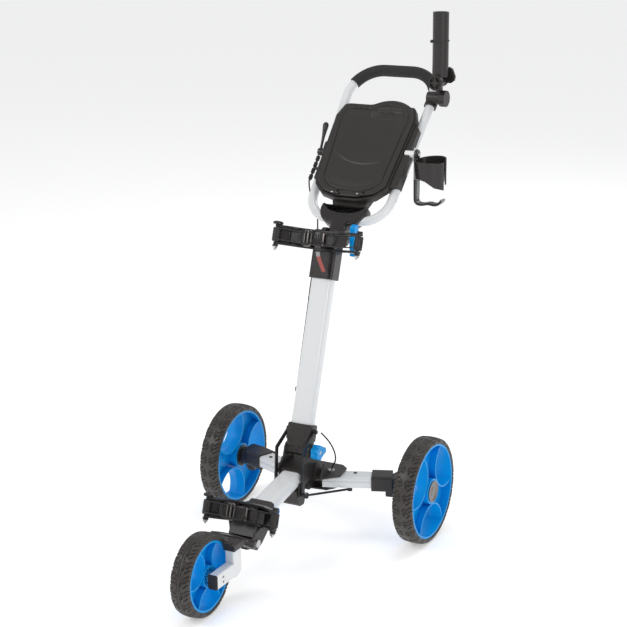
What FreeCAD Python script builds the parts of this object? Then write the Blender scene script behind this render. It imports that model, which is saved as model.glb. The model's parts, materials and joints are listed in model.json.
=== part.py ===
import FreeCAD, Part
import math
import os

# Golf push trolley, in millimetres. Z is up, the front wheel is towards -Y and the user stands
# at +Y. The origin is on the ground, below the middle of the rear axle line.

V = FreeCAD.Vector
X_AXIS, Y_AXIS, Z_AXIS, ORIGIN = V(1, 0, 0), V(0, 1, 0), V(0, 0, 1), V(0, 0, 0)

# ---- driving dimensions ----
rear_wheel_r, rear_wheel_x = 140.0, 287.0
front_wheel_r, front_axle = 101.6, V(0, -628, 101.6)
tyre_width, front_tyre_width, tyre_depth = 56.0, 52.0, 15.8
rim_half, front_rim_half = 26.0, 24.0
bearing_r, front_bearing_r = 14.0, 11.0
axle_r, running_gap = 6.0, 0.05

barrel = V(0, -145, 252)             # mast fold axis, along X
barrel_r, cheek_r = 16.0, 18.0
mast_lean = 18.53                    # degrees back from upright
mast_half_w, mast_half_d, mast_corner, tube_wall = 30.0, 20.0, 15.0, 2.5
mast_low_s, head_low_s, mast_high_s = 30.0, 444.0, 472.0   # distances up the mast from the barrel
upper_cradle_s = 553.0
handle_axis = V(0, 60, 772)          # handle fold axis, along X

leg_point, leg_slope = V(0, -166, 193), 10.0    # on the leg's centre line; degrees down to the front
leg_rear, leg_front, leg_half_d, leg_corner = 30.0, -186.0, 17.0, 13.0
knuckle = V(0, -430, 109)            # front fold axis, along X
lower_cradle_at = V(0, -408, 174)
release_at = (-343, 160)               # y and z of the wheel release button

arm_pin = V(60, -82, 158)            # right arm's swing axis, along Z
arm_sweep = 22.4                     # degrees back from X
arm_half_w, arm_half_h, arm_length = 25.0, 16.0, 128.0
cheek_x, cheek_t, deck_z, pin_r = 31.5, 4.5, 175.5, 5.0

handle_lean, handle_base = 43.5, V(0, 113, 806)   # base is the middle of the lower bend
loop_r, grip_r = 12.5, 16.0
loop_low_x, loop_high_x, loop_height = 112.0, 132.0, 482.0
loop_low_bend, loop_high_bend = 70.0, 88.0
grip_start = 28.0                      # degrees round each upper bend where the grip begins
console_half, console_low, console_high = 118.0, 44.0, 346.0
wing_right, wing_left = 15.0, 3.0
hump_x, hump_r, hump_rise, console_corner = 34.0, 96.0, 18.0, 14.0

umbrella_joint = V(154, 375, 1145)   # tilt axis, along Y
umbrella_bore_r, umbrella_r, umbrella_low, umbrella_high = 18.0, 21.5, 1158.0, 1328.0
swivel_z = 1100.0
cup_pivot, cup_r = V(146, 241, 970), 38.0
brake_pivot = V(-151.5, 266, 950)
clip_half, cup_clip_z, cup_clip_r, brake_clip_z, brake_clip_r = 15.0, 218.0, 17.0, 214.0, 16.5
umbrella_clip_z, umbrella_clip_r = 386.0, 17.0

fork_x, fork_half_x, fork_half_z, fork_stem_y = 47.0, 12.5, 18.0, -558.0
flap_at, flap_lean = V(0, -455, 110), 34.0     # the bag rest's plate rises to the front

link_top, link_knee, link_foot = V(0, -129, 300), V(0, -194, 268), V(0, -203, 154)
rod_start, rod_eye = V(50, -203, 154), V(110, -74, 136)
link_x, link_pin_r, ball_r = 37.0, 3.5, 4.0
cable_r = 2.0

nodes = {}


# ---- helpers ----
def box(x0, x1, y0, y1, z0, z1):
    return Part.makeBox(x1 - x0, y1 - y0, z1 - z0, V(x0, y0, z0))


def cyl(start, direction, radius, length):
    return Part.makeCylinder(radius, length, start, direction)


def rod(start, end, radius):
    return cyl(start, end - start, radius, (end - start).Length)


def x_disc(x0, x1, y, z, radius):
    return cyl(V(x0, y, z), X_AXIS, radius, x1 - x0)


def x_ring(x0, x1, y, z, outer, inner):
    return x_disc(x0, x1, y, z, outer).cut(x_disc(x0 - 1, x1 + 1, y, z, inner))


def union(shapes):
    whole = shapes[0].fuse(shapes[1:]) if len(shapes) > 1 else shapes[0]
    return whole.removeSplitter()


def mirrored(shape):
    return shape.mirror(ORIGIN, X_AXIS)


def both_sides(shape):
    return [shape, mirrored(shape)]


def extruded(points, vector):
    return Part.Face(Part.makePolygon(points + [points[0]])).extrude(vector)


def prism_yz(outline, x0, x1):
    return extruded([V(x0, y, z) for y, z in outline], V(x1 - x0, 0, 0))


def prism_xz(outline, y0, y1):
    return extruded([V(x, y0, z) for x, z in outline], V(0, y1 - y0, 0))


def prism_xy(outline, z0, z1):
    return extruded([V(x, y, z0) for x, y in outline], V(0, 0, z1 - z0))


def leaned(shape, origin, lean):
    """Places a shape drawn along Z so that its Z axis leans back from upright by lean degrees."""
    return shape.rotated(ORIGIN, X_AXIS, -lean).translated(origin)


def on_mast(shape):
    return leaned(shape, barrel, mast_lean)


def on_leg(shape):
    return leaned(shape, leg_point, -leg_slope)


def on_handle(shape):
    return leaned(shape, handle_base, handle_lean)


def handle_point(x, y, z):
    lean = math.radians(handle_lean)
    back, up = V(0, math.cos(lean), -math.sin(lean)), V(0, math.sin(lean), math.cos(lean))
    return handle_base + V(x, 0, 0) + back * y + up * z


def filleted(shape, radius, direction):
    """Rounds the straight edges that run along a direction."""
    edges = [e for e in shape.Edges if isinstance(e.Curve, Part.Line)
             and abs(e.tangentAt(e.FirstParameter).dot(direction)) > 0.99]
    return shape.makeFillet(radius, edges)


def rounded_bar(x0, x1, y0, y1, z0, z1, direction, radius):
    return filleted(box(x0, x1, y0, y1, z0, z1), radius, direction)


def curved_path(points, radii):
    """Straight runs joined by tangent arcs, with one radius for each inner point."""
    edges, start = [], points[0]
    for before, corner, after, radius in zip(points, points[1:], points[2:], radii):
        inward, outward = (before - corner).normalize(), (after - corner).normalize()
        half = inward.getAngle(outward) / 2
        reach = radius / math.tan(half)
        first, last = corner + inward * reach, corner + outward * reach
        middle = corner + (inward + outward).normalize() * (radius / math.sin(half) - radius)
        if (first - start).Length > 0.01:
            edges.append(Part.LineSegment(start, first).toShape())
        edges.append(Part.Arc(first, middle, last).toShape())
        start = last
    edges.append(Part.LineSegment(start, points[-1]).toShape())
    return Part.Wire(edges)


def swept(path, radius):
    first = path.Edges[0]
    at_start = first.FirstParameter
    circle = Part.makeCircle(radius, first.valueAt(at_start), first.tangentAt(at_start))
    tube = path.makePipeShell([Part.Wire(circle)], True, False)
    if tube.Volume < 0:
        tube.reverse()
    return tube


def cord(points):
    """A cord's tube: each arc is as large as its two runs allow."""
    radii = []
    for before, corner, after in zip(points, points[1:], points[2:]):
        turn = math.pi - (before - corner).getAngle(after - corner)
        shorter = min((before - corner).Length, (after - corner).Length)
        radii.append(0.45 * shorter / math.tan(turn / 2))
    return swept(curved_path(points, radii), cable_r)


def bolt_x(x0, x1, y, z, shank_r, head_r, head_t):
    """A bolt along X with a head outside each of its two ends."""
    heads = [x_disc(x1, x1 + head_t, y, z, head_r), x_disc(x0 - head_t, x0, y, z, head_r)]
    return union([x_disc(x0, x1, y, z, shank_r)] + heads)


def lobed_knob(radius, thickness, lobes):
    """A hand knob about Z with rounded lobes, standing on z = 0."""
    petal = cyl(V(0.62 * radius, 0, 0), Z_AXIS, 0.38 * radius, thickness)
    petals = [petal.rotated(ORIGIN, Z_AXIS, k * 360 / lobes) for k in range(lobes)]
    return union([cyl(ORIGIN, Z_AXIS, 0.8 * radius, thickness)] + petals)


# ---- wheels, drawn about the X axis with their outer side towards +X ----
def tyre(radius, width):
    half, inner, shoulder, crown = width / 2, radius - tyre_depth, 9.0, 1.6
    bend = shoulder * (1 - math.sqrt(0.5))
    bead, wall = V(half - 5, 0, inner), V(half, 0, inner + 5)
    wall_top = V(half, 0, radius - shoulder - crown)
    bend_mid = V(half - bend, 0, radius - crown - bend)
    tread = V(half - shoulder, 0, radius - crown)

    def other(point):
        return V(-point.x, 0, point.z)

    outline = [
        Part.LineSegment(other(bead), bead), Part.LineSegment(bead, wall), Part.LineSegment(wall, wall_top),
        Part.Arc(wall_top, bend_mid, tread), Part.Arc(tread, V(0, 0, radius), other(tread)),
        Part.Arc(other(tread), other(bend_mid), other(wall_top)),
        Part.LineSegment(other(wall_top), other(wall)), Part.LineSegment(other(wall), other(bead)),
    ]
    return Part.Face(Part.Wire([edge.toShape() for edge in outline])).revolve(ORIGIN, X_AXIS, 360)


def wheel_rim(lip_r, half, hub_r, window_r, window_at, angles, seat_r):
    """Channel, hub and three hollow spokes: the walls round three windows, and a thin web."""
    wall, web, draft, lip_step = 3.0, 4.0, 3.0, 3.0
    depth = half - lip_step
    inside = x_disc(-depth, depth, 0, 0, lip_r - 4)
    spider, windows = x_disc(-web / 2, web / 2, 0, 0, lip_r - 4), []
    for angle in angles:
        turn = math.radians(angle + 60)
        centre = V(0, window_at * math.cos(turn), window_at * math.sin(turn))
        for side in (X_AXIS, -X_AXIS):
            shell = Part.makeCone(window_r + wall, window_r + wall + draft, depth, centre, side)
            spider = spider.fuse(shell.common(inside))
            windows.append(Part.makeCone(window_r, window_r + draft, depth + 1, centre, side))
    for window in windows:
        spider = spider.cut(window)
    rim = union([x_ring(-half, half, 0, 0, lip_r, lip_r - 5), spider, x_disc(-half, half, 0, 0, hub_r)])
    for x0 in (-half - 1, half - 9):
        rim = rim.cut(x_disc(x0, x0 + 10, 0, 0, seat_r))
    return rim.cut(x_disc(-half - 1, half + 1, 0, 0, axle_r + 2))


def bearing_pair(half, outer_r):
    return Part.makeCompound([x_ring(x0, x0 + 8, 0, 0, outer_r, axle_r) for x0 in (-half + 1, half - 9)])


def make_rear_wheels():
    lip_r = rear_wheel_r - tyre_depth
    ring_r, hole_circle, holes = 29.0, 22.0, 12
    for name, side, angles in (("right", 1, (90, 210, 330)), ("left", -1, (60, 180, 300))):
        ring = x_ring(-rim_half - 3, -rim_half, 0, 0, ring_r, bearing_r)
        for k in range(holes):
            turn = math.radians(k * 360 / holes)
            y, z = hole_circle * math.cos(turn), hole_circle * math.sin(turn)
            ring = ring.cut(x_disc(-rim_half - 4, -rim_half + 1, y, z, 3.2))
        rim_edge = x_ring(rim_half, rim_half + 3, 0, 0, 28, 20)
        pieces = {
            "rear_rim_": wheel_rim(lip_r, rim_half, 33.5, 62, 104, angles, bearing_r),
            "brake_ring_": ring,
            "hub_cap_": union([rim_edge, x_disc(rim_half, rim_half + 1.2, 0, 0, 21)]),
            "wheel_bearings_": bearing_pair(rim_half, bearing_r),
            "rear_tyre_": tyre(rear_wheel_r, tyre_width),
        }
        for prefix, shape in pieces.items():
            placed = shape if side > 0 else mirrored(shape)
            nodes[prefix + name] = placed.translated(V(side * rear_wheel_x, 0, rear_wheel_r))


def make_front_wheel():
    half, ribs = front_rim_half, 16
    rim = wheel_rim(front_wheel_r - tyre_depth, half, 27, 40, 70, (90, 210, 330), front_bearing_r)
    pocket = x_ring(half - 12, half + 1, 0, 0, 24.5, 13.5).common(box(half - 13, half + 2, 12, 26, -3.1, 3.1))
    for k in range(ribs):
        rim = rim.cut(pocket.rotated(ORIGIN, X_AXIS, k * 360 / ribs))
    pieces = {"front_rim": rim, "front_bearings": bearing_pair(half, front_bearing_r),
              "front_tyre": tyre(front_wheel_r, front_tyre_width)}
    for name, shape in pieces.items():
        nodes[name] = shape.translated(front_axle)


# ---- rear arms, drawn along X from the swing pin ----
def make_arms():
    def on_arm(shape):
        return shape.rotated(ORIGIN, Z_AXIS, arm_sweep).translated(arm_pin)

    w, h, wall = arm_half_w, arm_half_h, tube_wall
    outer = rounded_bar(-22, arm_length, -w, w, -h, h, X_AXIS, 7)
    hollow = rounded_bar(18, arm_length + 1, -w + wall, w - wall, -h + wall, h - wall, X_AXIS, 4)
    arm = outer.cut(hollow)
    for y0 in (-w - 1.2, w - 1.2):
        arm = arm.cut(box(-30, arm_length + 5, y0, y0 + 2.4, 2, 5))
    arm = arm.cut(cyl(V(0, 0, -30), Z_AXIS, axle_r + running_gap, 60))
    clamp = rounded_bar(106, 160, -w - 4, w + 4, -h - 6, h + 4, X_AXIS, 7)
    web = filleted(prism_xy([(196, -48), (218, -44), (238, -18), (238, 20), (206, 12)], 122, 172), 6, Z_AXIS)
    boss = x_disc(228, 254, 0, rear_wheel_r, 21)
    axle_hole = x_disc(236, 260, 0, rear_wheel_r, axle_r - running_gap)
    bracket = union([on_arm(clamp), web, boss]).cut(on_arm(outer)).cut(axle_hole)
    shank = x_disc(236, 306, 0, rear_wheel_r, axle_r - running_gap)
    axle = shank.fuse(x_disc(254, 257, 0, rear_wheel_r, 9))
    for name, place in (("right", lambda shape: shape), ("left", mirrored)):
        nodes["rear_arm_" + name] = place(on_arm(arm))
        nodes["wheel_bracket_" + name] = place(bracket)
        nodes["axle_" + name] = place(axle)


# ---- hub and leg ----
def leg_bar(grow, start, end, corner):
    """The leg's rounded section, grown by a thickness all round, between two places along it."""
    half_w, half_d = mast_half_w + grow, leg_half_d + grow
    return on_leg(rounded_bar(-half_w, half_w, start, end, -half_d, half_d, Y_AXIS, corner))


def make_hub():
    leg_outer = leg_bar(0, leg_front, leg_rear, leg_corner)
    leg_bore = leg_bar(-tube_wall, leg_front - 1, leg_rear + 1, leg_corner - tube_wall)
    nodes["front_leg"] = leg_outer.cut(leg_bore)

    deck = [(0, -28), (66, -28), (86, -44), (94, -98), (52, -150), (0, -150)]
    low_deck = [(0, -50), (70, -50), (76, -84), (60, -110), (0, -118)]
    parts = both_sides(prism_xy(deck, deck_z, deck_z + 4.5)) + both_sides(prism_xy(low_deck, 136, 140.5))
    parts += [box(-22, 22, -135, -30, 140, deck_z + 1), leg_bar(5, -22, 44, 9)]
    cheek = [(-162, 256), (-170, 236), (-197, 210), (-190, 184), (-118, 180), (-112, 206), (-129, 256)]
    for x0 in (cheek_x, -cheek_x - cheek_t):
        parts.append(prism_yz(cheek, x0, x0 + cheek_t))
        parts.append(x_disc(x0, x0 + cheek_t, barrel.y, barrel.z, cheek_r))
    parts.append(box(-33, 33, -124, -116, deck_z, 222))
    for x0 in (44, 60):
        parts += both_sides(prism_yz([(-150, deck_z + 4), (-92, deck_z + 4), (-128, 216)], x0, x0 + 3))
    parts += both_sides(prism_yz([(-150, deck_z), (-128, deck_z), (-128, 216), (-142, 216)], 35, 47))
    hub = union(parts).cut(leg_outer).cut(x_disc(-60, 60, barrel.y, barrel.z, pin_r))
    for x in (arm_pin.x, -arm_pin.x):
        hub = hub.cut(cyl(V(x, arm_pin.y, 120), Z_AXIS, axle_r, 80))
    nodes["hub_frame"] = hub

    pins = []
    for x in (arm_pin.x, -arm_pin.x):
        heads = [cyl(V(x, arm_pin.y, deck_z + 4.5), Z_AXIS, 9, 4), cyl(V(x, arm_pin.y, 132.5), Z_AXIS, 9, 3.5)]
        pins.append(union([cyl(V(x, arm_pin.y, 133), Z_AXIS, axle_r, 49)] + heads))
    pivot = union([x_disc(-cheek_x - cheek_t, 62, barrel.y, barrel.z, pin_r),
                   x_disc(-cheek_x - cheek_t - 3, -cheek_x - cheek_t, barrel.y, barrel.z, 9)])
    knuckle_pin = bolt_x(-37, 37, knuckle.y, knuckle.z, pin_r, 10, 4)
    nodes["pivot_pins"] = Part.makeCompound(pins + [pivot, knuckle_pin])

    wedge = [(-218, 165.5), (-190, 170.5), (-187, 166.5), (-172, 167.5), (-174, 124), (-180, 118), (-199, 119),
             (-207, 126)]
    guide = [(-214, 148), (-190, 148), (-191, 181), (-209, 181)]
    slide = [prism_yz(wedge, -30, 30)] + both_sides(prism_yz(guide, 30.6, 36))
    pin = x_disc(-rod_start.x, rod_start.x, link_foot.y, link_foot.z, link_pin_r)
    balls = [Part.makeSphere(ball_r, V(x, rod_start.y, rod_start.z)) for x in (rod_start.x, -rod_start.x)]
    slide += both_sides(x_disc(24, 36, link_foot.y, link_foot.z, 7)) + [pin] + balls
    nodes["slide_block"] = union(slide)


def make_fold_links():
    half_w, x0, x1 = 5.5, link_x, link_x + 4
    points = (link_foot, link_knee, link_top)
    parts = [x_disc(x0, x1, p.y, p.z, half_w) for p in points]
    for a, b in zip(points, points[1:]):
        along = (b - a).normalize()
        across = V(0, -along.z, along.y) * half_w
        corners = [a + across, b + across, b - across, a - across]
        parts.append(prism_yz([(p.y, p.z) for p in corners], x0, x1))
    parts.append(x_disc(x1, x1 + 3, link_top.y, link_top.z, 5))
    link = union(parts).cut(x_disc(x0 - 1, x1 + 1, link_foot.y, link_foot.z, link_pin_r + running_gap))
    nodes["fold_links"] = Part.makeCompound(both_sides(link))
    eyes = [cyl(rod_start - V(0, 0, 6), Z_AXIS, 6.5, 12), cyl(rod_eye - V(0, 0, 4), Z_AXIS, 6.5, 8)]
    window = box(-8, 0, -6, 6, -ball_r, ball_r).translated(rod_start)
    ball_room = cyl(rod_start - V(0, 0, 7), Z_AXIS, ball_r + running_gap, 14)
    arm_rod = union([rod(rod_start, rod_eye, 3)] + eyes).cut([window, ball_room])
    nodes["arm_rod_right"], nodes["arm_rod_left"] = both_sides(arm_rod)


# ---- mast ----
def make_mast():
    w, d, corner, wall = mast_half_w, mast_half_d, mast_corner, tube_wall
    outer = rounded_bar(-w, w, -d, d, mast_low_s, mast_high_s, Z_AXIS, corner)
    hollow = rounded_bar(-w + wall, w - wall, -d + wall, d - wall, mast_low_s - 1, mast_high_s + 1,
                         Z_AXIS, corner - wall)
    nodes["mast_tube"] = on_mast(outer.cut(hollow))

    foot = union([rounded_bar(-33, 33, -23, 23, 24, 64, Z_AXIS, 5), box(-29, 29, -barrel_r, 20, 0, 30),
                  x_disc(-29, 29, 0, 0, barrel_r)])
    foot = foot.cut(outer).cut(x_disc(-40, 40, 0, 0, pin_r + running_gap))
    ears = both_sides(x_disc(30, 35.5, link_top.y, link_top.z, 7))
    nodes["mast_foot"] = union([on_mast(foot)] + ears).cut(on_mast(outer))

    pivot = handle_axis - barrel
    lean = math.radians(mast_lean)
    pivot_s = pivot.y * math.sin(lean) + pivot.z * math.cos(lean)
    pivot_y = pivot.y * math.cos(lean) - pivot.z * math.sin(lean)
    head = rounded_bar(-34, 34, -24, 23, head_low_s, 538, Z_AXIS, 7)
    cheeks = []
    for x0 in (21.5, -34):
        cheeks.append(x_disc(x0, x0 + 12.5, pivot_y, pivot_s, 22))
        cheeks.append(box(x0, x0 + 12.5, -20, pivot_y, 536, pivot_s + 12))
    head = union([head] + cheeks).cut(outer)
    head = head.cut(box(-21.5, 21.5, 12, 60, mast_high_s + 8, 620)).cut(box(-21.5, 21.5, -14, 60, 534, 620))
    nodes["mast_head"] = on_mast(head.cut(x_disc(-40, 40, pivot_y, pivot_s, 5)))
    nodes["handle_pivot_bolt"] = union([x_disc(-34, 60, handle_axis.y, handle_axis.z, 5),
                                        x_disc(-38, -34, handle_axis.y, handle_axis.z, 9)])


def cradle(half_span, root_y, end_y, half_height):
    """A concave bag rest: a curved web with two flanges, and a post at each end."""
    knee_x = 0.55 * half_span
    back = [(0, root_y), (knee_x, root_y - 3), (half_span - 8, end_y + 12)]
    front = [(half_span - 4, end_y + 2), (knee_x, root_y - 12), (0, root_y - 9)]
    wide = [(half_span + 5, end_y - 6), (half_span - 14, end_y - 4), (knee_x, root_y - 20), (0, root_y - 16)]
    web = both_sides(prism_xy(back + front, -half_height, half_height))
    flanges = []
    for z0 in (-half_height, half_height - 4):
        flanges += both_sides(prism_xy(back + [(half_span + 6, end_y + 4)] + wide, z0, z0 + 4))
    return web + flanges


def cradle_strap(half_span, root_y, end_y, half_height):
    """The strap between the end posts, with its rollers."""
    post_y = end_y - 1
    path = [(half_span, post_y - 9), (0.45 * half_span, root_y - 32), (0, root_y - 34)]
    inner = [(x, y + 3) for x, y in reversed(path)]
    band = both_sides(prism_xy(path + inner, -half_height, half_height))
    rollers = [x_ring(-half_height, half_height, 0, 0, 9, 4).rotated(ORIGIN, Y_AXIS, 90)
               .translated(V(x, post_y, 0)) for x in (half_span, -half_span)]
    return union(band + rollers)


def cradle_posts(half_span, end_y, half_height):
    bolts = bolt_x(-half_height - 1, half_height + 1, 0, 0, 4, 7.5, 5).rotated(ORIGIN, Y_AXIS, 90)
    return [bolts.translated(V(x, end_y - 1, 0)) for x in (half_span, -half_span)]


def buckle(x, y, half_height):
    frame = box(x - 11, x + 11, y - 7, y, -half_height, half_height)
    return frame.cut(box(x - 6, x + 6, y - 8, y + 1, -half_height + 6, half_height - 6))


def make_cradles():
    for name, place, span, root, end, half_h in (
            ("upper", lambda s: on_mast(s.translated(V(0, 0, upper_cradle_s - 12))), 118, -24, -68, 25),
            ("lower", lambda s: leaned(s, lower_cradle_at, mast_lean), 95, 4, -38, 25)):
        posts = cradle_posts(span, end, half_h)
        arms = union(cradle(span, root, end, half_h))
        strap = cradle_strap(span, root, end, 18)
        buckles = [buckle(-24, root - 34, 20), buckle(8, root - 34, 17)]
        for post in posts:
            arms, strap = arms.cut(post), strap.cut(post)
        arms = arms.cut([cyl(V(x, end - 1, -19), Z_AXIS, 9.5, 38) for x in (span, -span)])
        nodes[name + "_cradle"] = place(arms)
        nodes[name + "_strap"] = place(Part.makeCompound([strap] + buckles))
        nodes[name + "_posts"] = place(Part.makeCompound(posts))


# ---- front head and fork ----
def make_front():
    leg_outer = leg_bar(0, leg_front, leg_rear, leg_corner)
    collar = leg_bar(4.5, leg_front - 14, leg_front + 12, 9)
    cheek = [(-350, 138), (-350, 178), (-392, 178), (-420, 164), (-446, 122), (-448, 102), (-430, 91),
             (-404, 102), (-366, 130)]
    parts = [collar] + both_sides(prism_yz(cheek, 30, 37))
    front_wall = [(-398, 172), (-410, 172), (-444, 130), (-438, 124), (-398, 160)]
    flare = extruded([V(-60, -398, 172), V(60, -398, 172), V(32, -434, 132), V(-32, -434, 132)], V(0, -9, -3))
    parts += [prism_yz(front_wall, -33, 33), flare]
    saddle = leaned(box(-40, 40, -2, 7, -25, 25), lower_cradle_at, mast_lean)
    parts.append(saddle)
    pin_hole = x_disc(-50, 50, knuckle.y, knuckle.z, 5)
    head = union(parts).cut(leg_outer).cut(pin_hole).cut(nodes["lower_cradle"])
    room = x_disc(-29.5, 29.5, knuckle.y, knuckle.z, 19)
    nodes["leg_head"] = head.cut([room, x_disc(34, 60, release_at[0], release_at[1], 11.3)])

    right = [(28, -72), (52, -58), (62, -38), (58, -20), (40, -3)]
    outline = [(-x, y) for x, y in reversed(right)] + right
    skirt = prism_xy(outline, -6, 8)
    inner_skirt = prism_xy([(0.93 * x, 0.93 * y) for x, y in outline], -7, 9)
    ribs = [box(x0, x0 + 3, -68, -6, -6, 8).common(skirt) for x0 in (-42, -20, 17, 39)]
    flap = leaned(union([prism_xy(outline, 6, 11), skirt.cut(inner_skirt)] + ribs), flap_at, flap_lean)
    bridge = prism_yz([(-456, 104), (-456, 116), (-515, 157), (-580, 170), (-580, 160), (-515, 142)], 22, 50)
    tongue = prism_yz([(-430, 94), (-430, 122), (-464, 128), (-464, 104)], -28, 28)
    socket = box(fork_x - fork_half_x - 3, 63, fork_stem_y - 21, fork_stem_y + 21, 152, 166)
    rest = union([flap, x_disc(-29, 29, knuckle.y, knuckle.z, 16), tongue, bridge, socket])
    rest = rest.cut(x_disc(-50, 50, knuckle.y, knuckle.z, 5 + running_gap))
    nodes["bag_rest"] = rest.cut(x_disc(-31, 31, front_axle.y, front_axle.z, front_wheel_r + 5))

    x0, x1, half_z = fork_x - fork_half_x, fork_x + fork_half_x, fork_half_z
    low, high = front_axle.z - half_z, front_axle.z + half_z
    beam = rounded_bar(x0, x1, -650, fork_stem_y + half_z, low, high, Y_AXIS, 4)
    back = fork_stem_y + half_z
    stem = rounded_bar(x0, x1, fork_stem_y - half_z, back, low, 164, Z_AXIS, 4)
    inside_bend = [(-660, low - 1), (back - 22, low - 1), (back - 6, low + 7), (back + 1, low + 26),
                   (back + 1, 170), (-660, 170)]
    bend = prism_yz(inside_bend, x0, x1)
    fork = union([beam.common(box(x0, x1, -650, fork_stem_y, low, high)), stem]).common(bend)
    bore = box(x0 + 2.5, x1 - 2.5, -651, fork_stem_y + half_z - 3, low + 2.5, high - 2.5)
    bolt_hole = x_disc(x0 - 1, x1 + 1, front_axle.y, front_axle.z, axle_r - running_gap)
    fork = fork.cut(bore).cut(bolt_hole)
    nodes["fork_tube"] = fork
    nodes["bag_rest"] = nodes["bag_rest"].cut(stem)
    nodes["fork_cap"] = union([rounded_bar(x0, x1, -653, -650, low, high, Y_AXIS, 4),
                               box(x0 + 3, x1 - 3, -650, -640, low + 3, high - 3)])
    axle = x_disc(-20, x1, front_axle.y, front_axle.z, axle_r - running_gap)
    spacer = x_disc(front_rim_half + 1.5, x0, front_axle.y, front_axle.z, 9)
    nodes["front_axle"] = union([axle, spacer])

    nodes["front_release"] = x_disc(37.3, 46, release_at[0], release_at[1], 11)


# ---- handle ----
def loop_path(trim_low=None):
    slope = (loop_high_x - loop_low_x) / loop_height
    if trim_low is None:
        low = [V(-1, 0, 0), V(-loop_low_x, 0, 0)]
        radii = [loop_low_bend, loop_high_bend, loop_high_bend, loop_low_bend]
    else:
        low = [V(-loop_low_x - slope * trim_low, 0, trim_low)]
        radii = [loop_high_bend, loop_high_bend]
    left = low + [V(-loop_high_x, 0, loop_height)]
    right = [V(-p.x, 0, p.z) for p in reversed(left)]
    return curved_path(left + right, radii)


def make_handle():
    loop_outer = swept(loop_path(), loop_r)
    nodes["handle_loop"] = on_handle(loop_outer.cut(swept(loop_path(), loop_r - 1.6)))
    turn = math.radians(grip_start)
    bend_x, bend_z = loop_high_x - loop_high_bend, loop_height - loop_high_bend
    past = V(bend_x + 200 * math.cos(turn), 0, bend_z + 200 * math.sin(turn))
    below = [(bend_x, bend_z), (past.x, past.z), (past.x, 200), (bend_x, 200)]
    grip = swept(loop_path(300), grip_r).cut(both_sides(prism_xz(below, -40, 40)) + [loop_outer])
    nodes["handle_grip"] = on_handle(grip)

    right = [(0, 4), (26, 6), (52, 14), (72, 30), (78, 14), (66, -8), (42, -24), (0, -32)]
    crescent = right + [(-x, z) for x, z in reversed(right[1:-1])]
    clamp = filleted(prism_xz([(0.84 * x - 4, z + 4) for x, z in crescent], -17, 15), 5, Y_AXIS)
    away = handle_axis - handle_base
    lean = math.radians(handle_lean)
    axis_y = away.y * math.cos(lean) - away.z * math.sin(lean)
    axis_z = away.y * math.sin(lean) + away.z * math.cos(lean)
    lug = [x_disc(-20.5, 20.5, axis_y, axis_z, 13), box(-20.5, 20.5, axis_y - 13, axis_y + 13, axis_z, -20)]
    clamp = union([clamp] + lug).cut(loop_outer).cut(x_disc(-30, 30, axis_y, axis_z, 5 + running_gap))
    nodes["handle_clamp"] = on_handle(clamp)

    half, low, high = console_half, console_low, console_high
    right = [(30, low), (half - 40, low + 14), (half - 12, low + 42), (half + 2, high - 40), (half - 14, high)]
    outline = right + [(-x, z) for x, z in reversed(right)]
    cap_room = box(hump_x - hump_r, hump_x + hump_r, -40, 0, high - 16, high + hump_rise)
    hump = cyl(V(hump_x, -30, high + hump_rise - hump_r), Y_AXIS, hump_r, 16).common(cap_room)
    tray = union([filleted(prism_xz(outline, -30, -12), console_corner, Y_AXIS), hump])
    hollow = prism_xz([(0.93 * x, low + 12 + 0.93 * (z - low - 6)) for x, z in outline], -31, -15)
    wings = []
    for side, reach in ((1, wing_right), (-1, wing_left)):
        wing = [(half - 20, low + 50), (half + reach - 3, low + 60), (half + reach, high - 64),
                (half - 8, high - 34)]
        wings.append(prism_xz([(side * x, z) for x, z in wing], -26, 4))
    hub_under = prism_xz([(-40, low - 12), (50, low - 12), (64, low + 30), (-56, low + 30)], -14, 6)
    tray = on_handle(union([tray.cut(hollow), hub_under] + wings).cut(swept(loop_path(), loop_r + 0.02)))
    cup_room = [tube_room(cup_clip_z, cup_clip_r), x_disc(110, 150, cup_pivot.y, cup_pivot.z, 9.5)]
    brake_room = [mirrored(tube_room(brake_clip_z, brake_clip_r)),
                  x_disc(-150, -110, brake_pivot.y, brake_pivot.z, 11.5)]
    nodes["console_tray"] = tray.cut(cup_room + brake_room)
    lid_outline = [(x * 0.955, low + 9 + (z - low) * 0.965) for x, z in outline]
    lid_hump = cyl(V(hump_x, -36, high + hump_rise - hump_r), Y_AXIS, hump_r - 3, 5.5).common(cap_room)
    knuckles = [x_disc(x0, x0 + 16, -33, low + 8, 2.4) for x0 in (-34, 18)]
    lid = union([filleted(prism_xz(lid_outline, -36, -30.5), console_corner, Y_AXIS), lid_hump] + knuckles)
    nodes["console_lid"] = on_handle(lid)


def handle_side(z):
    """Centre of the handle tube at a height along the handle, on the right side."""
    return loop_low_x + (loop_high_x - loop_low_x) * z / loop_height


def along_tube(shape, z):
    """Places a shape drawn about Z on the right handle tube, at a height along the handle."""
    lean = math.degrees(math.atan2(loop_high_x - loop_low_x, loop_height))
    return on_handle(shape.rotated(ORIGIN, Y_AXIS, lean).translated(V(handle_side(z), 0, z)))


def tube_clip(z, outer_r):
    ring = cyl(V(0, 0, -clip_half), Z_AXIS, outer_r, 2 * clip_half)
    return along_tube(ring.cut(cyl(V(0, 0, -2 * clip_half), Z_AXIS, loop_r, 4 * clip_half)), z)


def tube_room(z, outer_r):
    """The space that a clip takes, with a little clearance."""
    return along_tube(cyl(V(0, 0, -clip_half - 0.5), Z_AXIS, outer_r + 0.5, 2 * clip_half + 1), z)


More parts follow.
